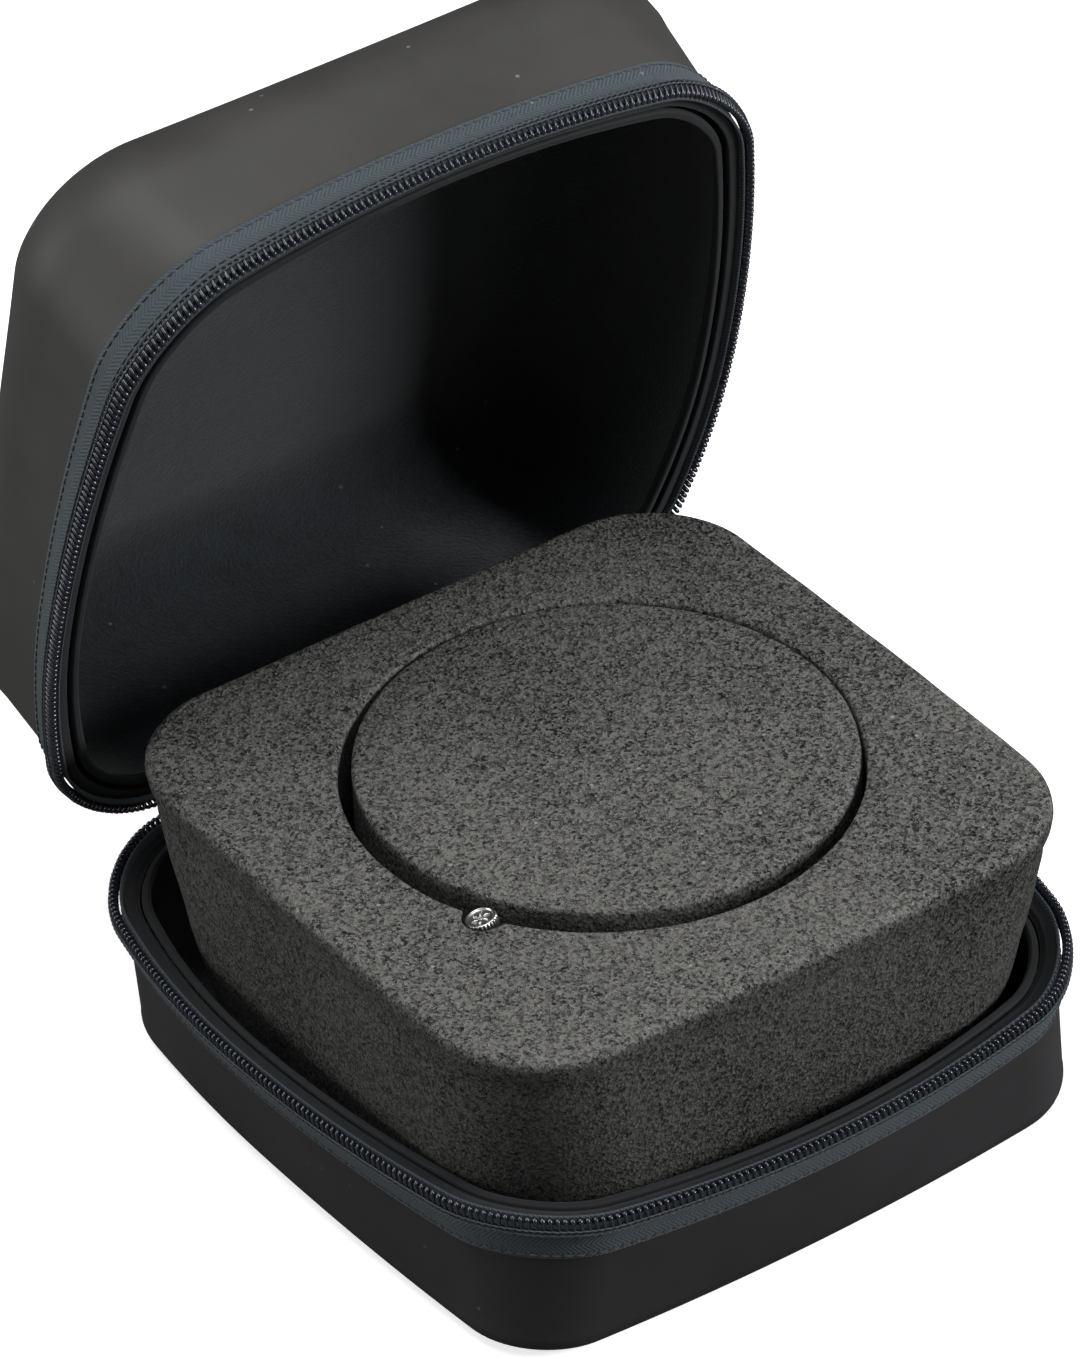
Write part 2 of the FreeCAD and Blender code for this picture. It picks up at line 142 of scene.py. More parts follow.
def to_half(body, point):
    """Place a point of the lower half's drawing on the base, or on the lid as it stands open."""
    if body == BASE:
        return point
    y = point.y - HINGE.y
    z = RIM_Z - point.z
    return Vector((point.x, HINGE.y + y * math.cos(LID_OPEN) + z * math.sin(LID_OPEN),
                   RIM_Z - y * math.sin(LID_OPEN) + z * math.cos(LID_OPEN)))


def half_ring(body, drop, layer=0.0, inset=None, upright=False, count=AROUND):
    """One ring of a half: depth below the rim, and how far inside the outer face or the coil line."""
    shape = SHAPES[body]
    k = 0.0 if upright else drop / shape["height"]
    if inset is None:
        inset = RIM_SET_IN + drop * math.tan(math.radians(shape["slope"])) + layer
    bulge = 1.0 - shape["bulge_lost"] * k
    radius_loss = inset if upright else layer
    r_front = FRONT_CORNER + (shape["corner"] - FRONT_CORNER) * k - radius_loss
    r_rear = REAR_CORNER + (shape["corner"] - REAR_CORNER) * k - radius_loss
    flat = outline(HALF_WIDTH - inset, FRONT_REACH - inset, REAR_REACH - inset, max(r_front, 1.0),
                   max(r_rear, 1.0), SIDE_BULGE * bulge, FRONT_BULGE * bulge, WIDEST_Y, count)
    return [to_half(body, Vector((p.x, p.y, RIM_Z - drop))) for p in flat]


def wall_drops(shape, top, layer, steps=10):
    """Depths and insets from just under the rim down the wall and round the bottom edge."""
    start = shape["height"] - shape["edge"]
    arc = RIM_SET_IN + start * math.tan(math.radians(shape["slope"])) + shape["edge"]
    radius = shape["edge"] - layer
    places = []
    for step in range(steps + 1):
        places.append((top + (start - top) * step / steps, None))
    for step in range(1, 13):
        angle = math.radians(90.0 * step / 12)
        places.append((start + radius * math.sin(angle), arc - radius * math.cos(angle)))
    return places


def shrink(ring, share):
    centre = sum(ring, Vector((0, 0, 0))) / len(ring)
    return [centre.lerp(p, share) for p in ring]


def skin_mesh(name, rings, closed_profile=False, around=True, fill_end=False):
    """Quads through rings of points in millimetres, with a UV map in metres: along, across."""
    count = len(rings[0])
    if fill_end:
        last = rings[-1]
        rings = rings + [shrink(last, s) for s in (0.85, 0.6, 0.35, 0.12, 0.02)]
    ends = [0] if around and (rings[0][0] - rings[0][count // 2]).length < 3.0 else []
    ends += [len(rings) - 1] if fill_end else []
    verts = [p * MM for ring in rings for p in ring]
    along = [0.0]
    ring = rings[0]
    for i in range(count):
        along.append(along[-1] + (ring[(i + 1) % count] - ring[i]).length * MM)
    across = [0.0]
    for a, b in zip(rings, rings[1:] + rings[:1]):
        across.append(across[-1] + (b[0] - a[0]).length * MM)
    faces = []
    uvs = []
    last_row = len(rings) if closed_profile else len(rings) - 1
    columns = count if around else count - 1
    for r in range(last_row):
        s = (r + 1) % len(rings)
        for c in range(columns):
            d = (c + 1) % count
            faces.append((r * count + c, r * count + d, s * count + d, s * count + c))
            uvs += [(along[c], across[r]), (along[c + 1], across[r]),
                    (along[c + 1], across[r + 1]), (along[c], across[r + 1])]
    for r in ends:
        faces.append(tuple(range(r * count, r * count + count)))
        uvs += [(along[c], across[r]) for c in range(count)]
    if closed_profile and not around:
        faces.append(tuple(r * count for r in range(len(rings))))
        faces.append(tuple(r * count + count - 1 for r in reversed(range(len(rings)))))
        uvs += [(0.0, across[r]) for r in range(len(rings))] * 2
    mesh = bpy.data.meshes.new(name)
    mesh.from_pydata(verts, [], faces)
    layer = mesh.uv_layers.new(name="UVMap")
    for loop, uv in enumerate(uvs):
        layer.data[loop].uv = uv
    mesh.polygons.foreach_set("use_smooth", [True] * len(mesh.polygons))
    mesh.update()
    obj = bpy.data.objects.new(name, mesh)
    bpy.context.scene.collection.objects.link(obj)
    turn_outward(obj, open_sheet=not closed_profile)
    return obj


def turn_outward(obj, open_sheet):
    bm = bmesh.new()
    bm.from_mesh(obj.data)
    if not open_sheet:
        bmesh.ops.recalc_face_normals(bm, faces=bm.faces)
    bm.to_mesh(obj.data)
    bm.free()


def tube(path, radii, sides=6):
    """Rings of a round tube along points, with a radius for each point."""
    rings = []
    side = None
    for i, p in enumerate(path):
        tangent = (path[min(i + 1, len(path) - 1)] - path[max(i - 1, 0)]).normalized()
        side = tangent.orthogonal() if side is None else side - tangent * side.dot(tangent)
        side.normalize()
        lift = tangent.cross(side)
        turns = [2 * math.pi * k / sides for k in range(sides)]
        rings.append([p + (side * math.cos(t) + lift * math.sin(t)) * radii[i] for t in turns])
    return rings


def rings_object(name, groups, closed=False):
    """One object from several tubes, each a list of rings of the same size."""
    verts = []
    faces = []
    uvs = []
    for rings in groups:
        start = len(verts)
        sides = len(rings[0])
        verts += [p * MM for ring in rings for p in ring]
        rows = len(rings) if closed else len(rings) - 1
        run = 0.0
        for r in range(rows):
            s = (r + 1) % len(rings)
            step = (rings[s][0] - rings[r][0]).length * MM
            for k in range(sides):
                m = (k + 1) % sides
                faces.append((start + r * sides + k, start + r * sides + m,
                              start + s * sides + m, start + s * sides + k))
                uvs += [(run, k / sides), (run, (k + 1) / sides),
                        (run + step, (k + 1) / sides), (run + step, k / sides)]
            run += step
        if not closed:
            faces.append(tuple(start + k for k in reversed(range(sides))))
            faces.append(tuple(start + (len(rings) - 1) * sides + k for k in range(sides)))
            uvs += [(0.0, 0.0)] * sides + [(run, 0.0)] * sides
    mesh = bpy.data.meshes.new(name)
    mesh.from_pydata(verts, [], faces)
    layer = mesh.uv_layers.new(name="UVMap")
    for loop, uv in enumerate(uvs):
        layer.data[loop].uv = uv
    mesh.polygons.foreach_set("use_smooth", [True] * len(mesh.polygons))
    mesh.update()
    obj = bpy.data.objects.new(name, mesh)
    bpy.context.scene.collection.objects.link(obj)
    turn_outward(obj, open_sheet=False)
    return obj


def recolour(material, *names):
    """Give CAD pieces that stay as they are their material."""
    for name in names:
        slots = bpy.data.objects[name].data.materials
        slots.clear()
        slots.append(MATERIALS[material])


def dress(obj, body, slot, material, *nodes):
    """Give a piece its material, body and finish slot, and say which CAD nodes it stands for."""
    obj.data.materials.clear()
    obj.data.materials.append(material)
    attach(obj, body)
    if nodes:
        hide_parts(*nodes)
    return obj


# ---------------------------------------------------------------- material nodes

def add(tree, kind, sockets=None, **settings):
    """New shader node with its settings, and inputs given as values or as sockets to link."""
    node = tree.nodes.new("ShaderNode" + kind)
    for key, value in settings.items():
        setattr(node, key, value)
    for key, value in (sockets or {}).items():
        if isinstance(value, bpy.types.NodeSocket):
            tree.links.new(value, node.inputs[key])
        else:
            node.inputs[key].default_value = value
    return node


def math_node(tree, operation, a, b=0.0, c=0.0, clamp=False):
    return add(tree, "Math", {0: a, 1: b, 2: c}, operation=operation, use_clamp=clamp).outputs[0]


def ramp(tree, value, low, high, out_low=0.0, out_high=1.0):
    return add(tree, "MapRange", {"Value": value, "From Min": low, "From Max": high,
                                  "To Min": out_low, "To Max": out_high}).outputs[0]


def new_group(name, inputs, outputs):
    tree = bpy.data.node_groups.new(name, "ShaderNodeTree")
    for label, kind in inputs:
        tree.interface.new_socket(label, in_out="INPUT", socket_type="NodeSocket" + kind)
    for label, kind in outputs:
        tree.interface.new_socket(label, in_out="OUTPUT", socket_type="NodeSocket" + kind)
    return tree, tree.nodes.new("NodeGroupInput"), tree.nodes.new("NodeGroupOutput")


def group_grain():
    """Fine moulded grain with slow patches."""
    tree, given, out = new_group("fine_grain", (("Vector", "Vector"), ("Scale", "Float")),
                                 (("Height", "Float"), ("Tone", "Float")))
    place = given.outputs["Vector"]
    scale = given.outputs["Scale"]
    fine = add(tree, "TexNoise", {"Vector": place, "Scale": scale, "Detail": 3.0, "Roughness": 0.6})
    pits = add(tree, "TexVoronoi", {"Vector": place, "Scale": math_node(tree, "MULTIPLY", scale, 0.8)},
               feature="SMOOTH_F1")
    slow = add(tree, "TexNoise", {"Vector": place, "Scale": 38.0, "Detail": 4.0, "Roughness": 0.55})
    height = math_node(tree, "MULTIPLY_ADD", pits.outputs["Distance"], 0.5, fine.outputs[0])
    tree.links.new(height, out.inputs["Height"])
    patches = ramp(tree, slow.outputs[0], 0.3, 0.7, 0.0, 0.65)
    tone = math_node(tree, "MULTIPLY_ADD", fine.outputs[0], 0.35, patches)
    tree.links.new(tone, out.inputs["Tone"])
    return tree


def group_cells():
    """Open foam cells: pits, uneven tone and a few bright facets."""
    tree, given, out = new_group("foam_cells", (("Vector", "Vector"), ("Scale", "Float")),
                                 (("Height", "Float"), ("Tone", "Float"), ("Spark", "Float")))
    place = given.outputs["Vector"]
    scale = given.outputs["Scale"]
    cells = add(tree, "TexVoronoi", {"Vector": place, "Scale": scale}, feature="F1")
    small_scale = math_node(tree, "MULTIPLY", scale, 2.3)
    small = add(tree, "TexVoronoi", {"Vector": place, "Scale": small_scale}, feature="F1")
    fine = add(tree, "TexNoise", {"Vector": place, "Scale": math_node(tree, "MULTIPLY", scale, 0.55),
                                  "Detail": 6.0, "Roughness": 0.75})
    slow = add(tree, "TexNoise", {"Vector": place, "Scale": 26.0, "Detail": 3.0})
    split = add(tree, "SeparateColor", {"Color": cells.outputs["Color"]})
    split_small = add(tree, "SeparateColor", {"Color": small.outputs["Color"]})
    height = math_node(tree, "MULTIPLY_ADD", cells.outputs["Distance"], 0.7,
                       math_node(tree, "MULTIPLY", fine.outputs[0], 0.9))
    tree.links.new(height, out.inputs["Height"])
    tone = math_node(tree, "MULTIPLY", fine.outputs[0], 0.55)
    tone = math_node(tree, "MULTIPLY_ADD", split.outputs[0], 0.30, tone)
    tone = math_node(tree, "MULTIPLY_ADD", split_small.outputs[1], 0.18, tone)
    tone = math_node(tree, "MULTIPLY_ADD", slow.outputs[0], 0.25, tone)
    tree.links.new(ramp(tree, tone, 0.44, 0.80), out.inputs["Tone"])
    spark = math_node(tree, "GREATER_THAN", split_small.outputs[0], 0.93)
    near = math_node(tree, "LESS_THAN", small.outputs["Distance"], 0.42)
    tree.links.new(math_node(tree, "MULTIPLY", spark, near), out.inputs["Spark"])
    return tree


def group_herringbone():
    """Herringbone weave in the UV map's metres."""
    inputs = (("Vector", "Vector"), ("Yarn", "Float"), ("Column", "Float"))
    tree, given, out = new_group("herringbone", inputs, (("Height", "Float"), ("Tone", "Float")))
    uv = add(tree, "SeparateXYZ", {0: given.outputs["Vector"]})
    yarn = given.outputs["Yarn"]
    column = given.outputs["Column"]
    rise = math_node(tree, "PINGPONG", uv.outputs[1], column)
    slanted = math_node(tree, "DIVIDE", math_node(tree, "ADD", uv.outputs[0], rise), yarn)
    wave = math_node(tree, "SINE", math_node(tree, "MULTIPLY", slanted, 2 * math.pi))
    picks = math_node(tree, "DIVIDE", uv.outputs[1], yarn)
    cross = math_node(tree, "SINE", math_node(tree, "MULTIPLY", picks, 4 * math.pi))
    height = math_node(tree, "MULTIPLY_ADD", wave, 0.4, math_node(tree, "MULTIPLY_ADD", cross, 0.12, 0.5))
    tree.links.new(height, out.inputs["Height"])
    fuzz = add(tree, "TexNoise", {"Vector": given.outputs["Vector"], "Scale": 900.0, "Detail": 3.0})
    # painted shade: the tone follows the weave's height, lighter on the raised yarns and darker in the
    # grooves, with random fuzz on top
    lit = math_node(tree, "MULTIPLY", height, 0.6)
    tree.links.new(math_node(tree, "MULTIPLY_ADD", fuzz.outputs[0], 0.5, lit), out.inputs["Tone"])
    return tree


def group_pile():
    """Short mottled pile, brushed in patches."""
    tree, given, out = new_group("velour_pile", (("Vector", "Vector"), ("Scale", "Float")),
                                 (("Height", "Float"), ("Tone", "Float")))
    place = given.outputs["Vector"]
    scale = given.outputs["Scale"]
    hairs = add(tree, "TexNoise", {"Vector": place, "Scale": scale, "Detail": 5.0, "Roughness": 0.8})
    brushed = add(tree, "TexNoise", {"Vector": place, "Scale": 90.0, "Detail": 4.0, "Roughness": 0.65,
                                     "Distortion": 0.8})
    tree.links.new(hairs.outputs[0], out.inputs["Height"])
    tone = math_node(tree, "ADD", ramp(tree, hairs.outputs[0], 0.3, 0.7, 0.0, 0.75),
                     ramp(tree, brushed.outputs[0], 0.35, 0.68, 0.0, 0.25))
    tree.links.new(tone, out.inputs["Tone"])
    return tree


def group_dust():
    """Mask of fine pale lint, mostly on faces that look up."""
    tree, given, out = new_group("lint", (("Vector", "Vector"), ("Amount", "Float")), (("Mask", "Float"),))
    normal = add(tree, "SeparateXYZ", {0: add(tree, "NewGeometry").outputs["Normal"]})
    facing = ramp(tree, normal.outputs[2], -0.2, 0.9, 0.25, 1.0)
    specks = add(tree, "TexVoronoi", {"Vector": given.outputs["Vector"], "Scale": 420.0}, feature="F1")
    pick = add(tree, "SeparateColor", {"Color": specks.outputs["Color"]})
    rare = math_node(tree, "GREATER_THAN", pick.outputs[0], 0.975)
    small = math_node(tree, "LESS_THAN", specks.outputs["Distance"], 0.16)
    mask = math_node(tree, "MULTIPLY", math_node(tree, "MULTIPLY", rare, small), facing)
    tree.links.new(math_node(tree, "MULTIPLY", mask, given.outputs["Amount"]), out.inputs["Mask"])
    return tree


def group_wear():
    """Mask of rubbed edges."""
    tree, given, out = new_group("edge_wear", (("Vector", "Vector"), ("Amount", "Float")),
                                 (("Mask", "Float"),))
    point = add(tree, "NewGeometry").outputs["Pointiness"]
    edge = ramp(tree, point, 0.51, 0.60)
    broken = add(tree, "TexNoise", {"Vector": given.outputs["Vector"], "Scale": 260.0, "Detail": 4.0})
    mask = math_node(tree, "MULTIPLY", edge, ramp(tree, broken.outputs[0], 0.4, 0.65))
    tree.links.new(math_node(tree, "MULTIPLY", mask, given.outputs["Amount"]), out.inputs["Mask"])
    return tree


def start_material(name):
    material = bpy.data.materials.new(name)
    material.use_nodes = True
    tree = material.node_tree
    shader = tree.nodes["Principled BSDF"]
    return material, tree, shader


def place_of(tree, kind="Object"):
    return add(tree, "TexCoord").outputs[kind]


def use(tree, group, place, **values):
    node = tree.nodes.new("ShaderNodeGroup")
    node.node_tree = bpy.data.node_groups[group]
    tree.links.new(place, node.inputs["Vector"])
    for key, value in values.items():
        node.inputs[key].default_value = value
    return node.outputs


def blend_colour(tree, share, dark, light):
    node = add(tree, "Mix", data_type="RGBA")
    tree.links.new(share, node.inputs["Factor"])
    for key, value in ((6, dark), (7, light)):
        if isinstance(value, bpy.types.NodeSocket):
            tree.links.new(value, node.inputs[key])
        else:
            node.inputs[key].default_value = (*value[:3], 1.0)
    return node.outputs[2]


def bump(tree, shader, height, strength, distance):
    node = add(tree, "Bump", {"Height": height, "Strength": strength, "Distance": distance})
    tree.links.new(node.outputs[0], shader.inputs["Normal"])


def times(colour, k):
    return [c * k for c in colour[:3]]


def textured(name, group, colour, scale, low, high, rough, strength, distance, lint=0.0, wear=0.0,
             sides=1.0, kind="Object", **fixed):
    """Material with one grain group, lint and rubbed edges; sides darkens faces that do not look up."""
    material, tree, shader = start_material(name)
    place = place_of(tree, kind)
    extra = scale if isinstance(scale, dict) else {"Scale": scale}
    found = use(tree, group, place, **extra)
    result = blend_colour(tree, found["Tone"], times(colour, low), times(colour, high))
    spread = ramp(tree, found["Tone"], 0.0, 1.0, rough[0], rough[1])
    if wear:
        rub = use(tree, "edge_wear", place_of(tree), Amount=wear)["Mask"]
        result = blend_colour(tree, rub, result, times(colour, 2.6))
    # painted glint: spark cells get four times the colour, on top of a real drop in roughness
    if "Spark" in found:
        result = blend_colour(tree, found["Spark"], result, times(colour, 4.0))
        spread = math_node(tree, "MULTIPLY_ADD", found["Spark"], -0.45, spread)
    if lint:
        specks = use(tree, "lint", place_of(tree), Amount=lint)["Mask"]
        result = blend_colour(tree, specks, result, (0.42, 0.42, 0.40))
    # painted shade: faces that do not look up get their colour scaled down towards the factor sides
    if sides < 1.0:
        facing = add(tree, "SeparateXYZ", {0: add(tree, "NewGeometry").outputs["Normal"]})
        share = ramp(tree, facing.outputs[2], 0.1, 0.7, sides, 1.0)
        result = add(tree, "VectorMath", {0: result, "Scale": share}, operation="SCALE").outputs[0]
    tree.links.new(result, shader.inputs["Base Color"])
    tree.links.new(spread, shader.inputs["Roughness"])
    bump(tree, shader, found["Height"], strength, distance)
    for key, value in fixed.items():
        shader.inputs[key.replace("_", " ")].default_value = value
    return material


def make_materials(colours):
    for build in (group_grain, group_cells, group_herringbone, group_pile, group_dust, group_wear):
        build()
    made = {}
    for name, colour in (("base_skin", colours.base_skin), ("lid_skin", colours.lid_skin)):
        made[name] = textured(name, "fine_grain", colour, 1500.0, 0.80, 1.22, (0.50, 0.66), 0.22, 0.00008,
                              lint=0.35, wear=0.25, Specular_IOR_Level=0.42)
    made["core"] = textured("core", "fine_grain", colours.core, 900.0, 0.7, 1.3, (0.8, 0.95), 0.4, 0.0001)
    made["velour"] = textured("velour", "velour_pile", colours.velour, 1500.0, 0.2, 2.0, (0.85, 1.0),
                              1.0, 0.0004, lint=0.3, Sheen_Weight=0.35, Sheen_Roughness=0.45,
                              Specular_IOR_Level=0.15)
    made["rolled"] = textured("rolled", "velour_pile", colours.rolled, 2200.0, 0.5, 1.5, (0.62, 0.8),
                              0.5, 0.0001, Sheen_Weight=0.1, Specular_IOR_Level=0.3)
    # the foam gets painted shade on its sides through sides=0.6
    made["foam"] = textured("foam", "foam_cells", colours.foam, 1700.0, 0.0, 2.5, (0.82, 1.0), 0.9, 0.0004,
                            lint=0.5, sides=0.6, Specular_IOR_Level=0.25)
    made["tape"] = textured("tape", "herringbone", colours.tape, {"Yarn": 0.0009, "Column": 0.0017}, 0.2, 2.1,
                            (0.55, 0.8), 0.6, 0.00012, lint=0.3, kind="UV", Sheen_Weight=0.12)
    made["thread"] = textured("thread", "herringbone", colours.thread, {"Yarn": 0.0006, "Column": 0.35},
                              0.6, 1.35, (0.4, 0.6), 0.5, 0.00008, kind="UV", Sheen_Weight=0.15)
    made["coil"] = textured("coil", "fine_grain", colours.coil, 700.0, 0.75, 1.3, (0.16, 0.30), 0.08, 0.00004,
                            wear=0.3, Specular_IOR_Level=0.6, Coat_Weight=0.35, Coat_Roughness=0.12)
    made["dark_metal"] = textured("dark_metal", "fine_grain", colours.dark_metal, 800.0, 0.8, 1.25,
                                  (0.3, 0.45), 0.08, 0.00003, wear=0.7, Metallic=0.75)
    made["bright_metal"] = textured("bright_metal", "fine_grain", colours.bright_metal, 1100.0, 0.82, 1.08,
                                    (0.2, 0.36), 0.06, 0.00002, wear=0.1, Metallic=1.0)
    return made


MATERIALS = {}


# ---------------------------------------------------------------- the case

def build_skins():
    """Outer skins of both halves, folded over the rim."""
    for body in (BASE, LID):
        shape = SHAPES[body]
        rings = [half_ring(body, 3.0, 2.0), half_ring(body, 2.25, 1.98), half_ring(body, 2.06, 1.85),
                 half_ring(body, 2.0, 1.6), half_ring(body, 1.97, 1.0), half_ring(body, 2.0, 0.4),
                 half_ring(body, 2.1, 0.12), half_ring(body, 2.35, 0.0)]
        for drop, inset in wall_drops(shape, 2.9, 0.0, 12):
            rings.append(half_ring(body, drop, 0.0, inset))
        prefix = PREFIX[body]
        skin = skin_mesh(prefix + "_skin", rings, fill_end=True)
        dress(skin, body, "skin" if body == BASE else "lid_skin", MATERIALS[prefix + "_skin"],
              prefix + "_outer_skin")
        skin.data.materials.append(MATERIALS["rolled"])
        for face in list(skin.data.polygons)[:AROUND * 7]:
            face.material_index = 1
        recolour("core", prefix + "_shell")


def build_linings():
    """Linings that lean in at the mouth, and their rolled edges."""
    for body in (BASE, LID):
        shape = SHAPES[body]
        prefix = PREFIX[body]
        top = 3.75
        rings = []
        for drop, inset in wall_drops(shape, top, 2.75, 16):
            leaning = 1.35 * max(0.0, 1.0 - (drop - top) / 12.0) ** 2
            rings.append(half_ring(body, drop, 2.75 + leaning, inset))
        lining = skin_mesh(prefix + "_velour", rings, fill_end=True)
        dress(lining, body, "velour", MATERIALS["velour"], prefix + "_lining")
        centre_layer = 2.05 + 1.35 + 0.35
        profile = []
        for step in range(20):
            angle = 2 * math.pi * step / 20
            pinch = 1.0 - 0.22 * math.exp(-((angle - math.radians(100)) / 0.22) ** 2)
            profile.append((0.80 * math.cos(angle) * pinch, 0.85 * math.sin(angle) * pinch))
        rings = [half_ring(body, 2.75 - z, centre_layer + x) for x, z in profile]
        roll = skin_mesh(prefix + "_roll", rings, closed_profile=True)
        dress(roll, body, "rolled_cloth", MATERIALS["rolled"], prefix + "_rim_roll")


def open_path(ring, left=CHAIN_LEFT, right=CHAIN_RIGHT):
    """Indices of a ring's points, in order, without the rear stretch between two x values."""
    kept = []
    count = len(ring)
    rear = [i for i in range(count) if i < count * 0.2 or i > count * 0.8]
    cut = {i for i in rear if left < ring[i].x < right}
    start = next(i for i in range(count) if i not in cut and (i - 1) % count in cut)
    for step in range(count):
        i = (start + step) % count
        if i in cut:
            break
        kept.append(i)
    return kept


def build_tapes():
    """Woven zipper tapes with their seams."""
    for body in (BASE, LID):
        prefix = PREFIX[body]
        profile = [(0.9, -0.28), (1.0, -0.55), (1.3, -0.62)]
        profile += [(1.3 + 8.6 * k / 8, -0.62 + 0.05 * math.sin(3.1 * k)) for k in range(1, 9)]
        profile += [(10.25, -0.55), (10.4, -0.32), (10.3, -0.1), (6.0, -0.06), (1.2, -0.06)]
        rings = [half_ring(body, drop, layer, count=900) for drop, layer in profile]
        path = open_path(rings[0])
        tape = skin_mesh(prefix + "_tape", [[ring[i] for i in path] for ring in rings], closed_profile=True,
                         around=False)
        dress(tape, body, "tape", MATERIALS["tape"], prefix + "_zipper_tape")
        stitches = []
        for drop, pitch, length in ((5.4, 2.1, 1.5), (9.5, 2.1, 1.5)):
            line = half_ring(body, drop, -0.72, count=2700)
            total = sum((line[i] - line[i - 1]).length for i in range(len(line)))
            step = total / len(line)
            kept = open_path(line, CHAIN_LEFT + 1, CHAIN_RIGHT - 1)
            every = max(2, round(pitch / step))
            span = max(2, round(length / step))
            for first in range(0, len(kept) - span, every):
                points = [line[kept[first + k]] for k in range(0, span + 1, max(1, span // 5))]
                radii = [0.06 + 0.13 * math.sin(math.pi * (k + 0.6) / (len(points) + 0.2))
                         for k in range(len(points))]
                stitches.append(tube(points, radii))
        seam = rings_object(prefix + "_stitches", stitches)
        dress(seam, body, "thread", MATERIALS["thread"], prefix + "_tape_seam")


def along(line, share):
    """Point a share of the way along evenly spaced points."""
    at = share * (len(line) - 1)
    i = min(int(at), len(line) - 2)
    return line[i].lerp(line[i + 1], at - i)


def coil_place(body):
    """Length of a half's coil, and where a point of it lies: share of the length, outwards, down."""
    depth = 4.0
    middle = -COIL_OFF - COIL_THICK / 2
    top = half_ring(body, 0.0, middle, count=1400)
    foot = half_ring(body, depth, middle, count=1400)
    outside = half_ring(body, 0.0, middle - 1.0, count=1400)
    kept = open_path(top, CHAIN_LEFT - STOP_LENGTH)
    top, foot, outside = [[ring[i] for i in kept] for ring in (top, foot, outside)]

    def place(share, out, down):
        high = along(top, share)
        return high.lerp(along(foot, share), down / depth) + (along(outside, share) - high) * out

    return sum((b - a).length for a, b in zip(top, top[1:])), place


def build_coils():
    """Coils of both halves, loop by loop, with the sewing that holds them to the tape."""
    steps = 14
    for body in (BASE, LID):
        prefix = PREFIX[body]
        length, place = coil_place(body)
        total = int(length / COIL_PITCH) * steps
        path = []
        radii = []
        for n in range(total + 1):
            turn = math.sin(2 * math.pi * n / steps)
            out = 0.54 * math.cos(2 * math.pi * n / steps)
            head = max(0.0, turn) ** 6
            path.append(place(n / total, out * (1 + 0.25 * head), 2.08 - 1.52 * turn))
            radii.append(0.36 if turn < 0.78 else 0.42)
        coil = rings_object(prefix + "_coil", [tube(path, radii)])
        dress(coil, body, "coil", MATERIALS["coil"], prefix + "_zipper_coil")
        sewing = []
        count = int(length / COIL_PITCH) * 4
        for down, out, size in ((2.55, 0.86, 0.20), (3.45, 0.80, 0.24)):
            points = [place(n / count, out, down + 0.08 * math.sin(n * math.pi / 2)) for n in range(count)]
            sizes = [size * (0.45 + 0.55 * abs(math.sin((n + 0.5) * math.pi / 4))) for n in range(count)]
            sewing.append(tube(points, sizes))
        cord = [place(n / 300, 0.0, 2.3) for n in range(301)]
        sewing.append(tube(cord, [0.5] * len(cord), 8))
        thread = rings_object(prefix + "_coil_sewing", sewing)
        dress(thread, body, "thread", MATERIALS["thread"])
        recolour("dark_metal", prefix + "_zipper_stop")


def build_hinge():
    """Cloth hinge, one strip from the base's rear wall to the lid's, with its stitches."""
    half = 14.0
    cloth = 0.8
    base_wall = math.tan(math.radians(SHAPES[BASE]["slope"]))
    lid_wall = math.tan(math.radians(SHAPES[LID]["slope"]))

    def wall(drop, slope):
        return REAR_Y - RIM_SET_IN - drop * slope + 0.1

    side = []
    for drop in (13.0, 11.0, 9.0, 7.0, 5.0, 3.6):
        side.append(Vector((0, wall(drop, base_wall), RIM_Z - drop)))
    side.append(Vector((0, HINGE.y - 0.55, RIM_Z - 1.6)))
    middle = [to_mid(Vector((0, HINGE.y - 0.25, RIM_Z + s))) for s in (-0.7, 0.0, 0.7)]
    upper = []
    for drop in (1.6, 3.6, 5.0, 7.0, 9.0, 11.0, 13.0):
        flat = Vector((0, HINGE.y - 0.55 if drop < 2 else wall(drop, lid_wall), RIM_Z - drop))
        upper.append(to_half(LID, flat))
    inner = side + middle + upper
    outer = []
    for i, p in enumerate(inner):
        a = inner[max(i - 1, 0)]
        b = inner[min(i + 1, len(inner) - 1)]
        t = (b - a).normalized()
        outer.append(p + Vector((0, t.z, -t.y)) * cloth)
    loop = inner + outer[::-1]
    rings = [[Vector((x, p.y, p.z)) for x in [-half + 2 * half * k / 40 for k in range(41)]] for p in loop]
    strip = skin_mesh("hinge_cloth", rings, closed_profile=True, around=False)
    strip.data.materials.append(MATERIALS["tape"])
    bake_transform(strip)
    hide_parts("base_hinge_leaf", "lid_hinge_leaf", "hinge_fold")
    length = sum((b - a).length for a, b in zip(inner, inner[1:]))
    recolour("thread", "base_hinge_stitches", "lid_hinge_stitches")


def to_mid(point):
    """Place a point drawn for the shut case on the part that turns to half the lid's angle."""
    y = point.y - HINGE.y
    z = point.z - RIM_Z
    c, s = math.cos(LID_OPEN / 2), math.sin(LID_OPEN / 2)
    return Vector((point.x, HINGE.y + y * c + z * s, RIM_Z - y * s + z * c))


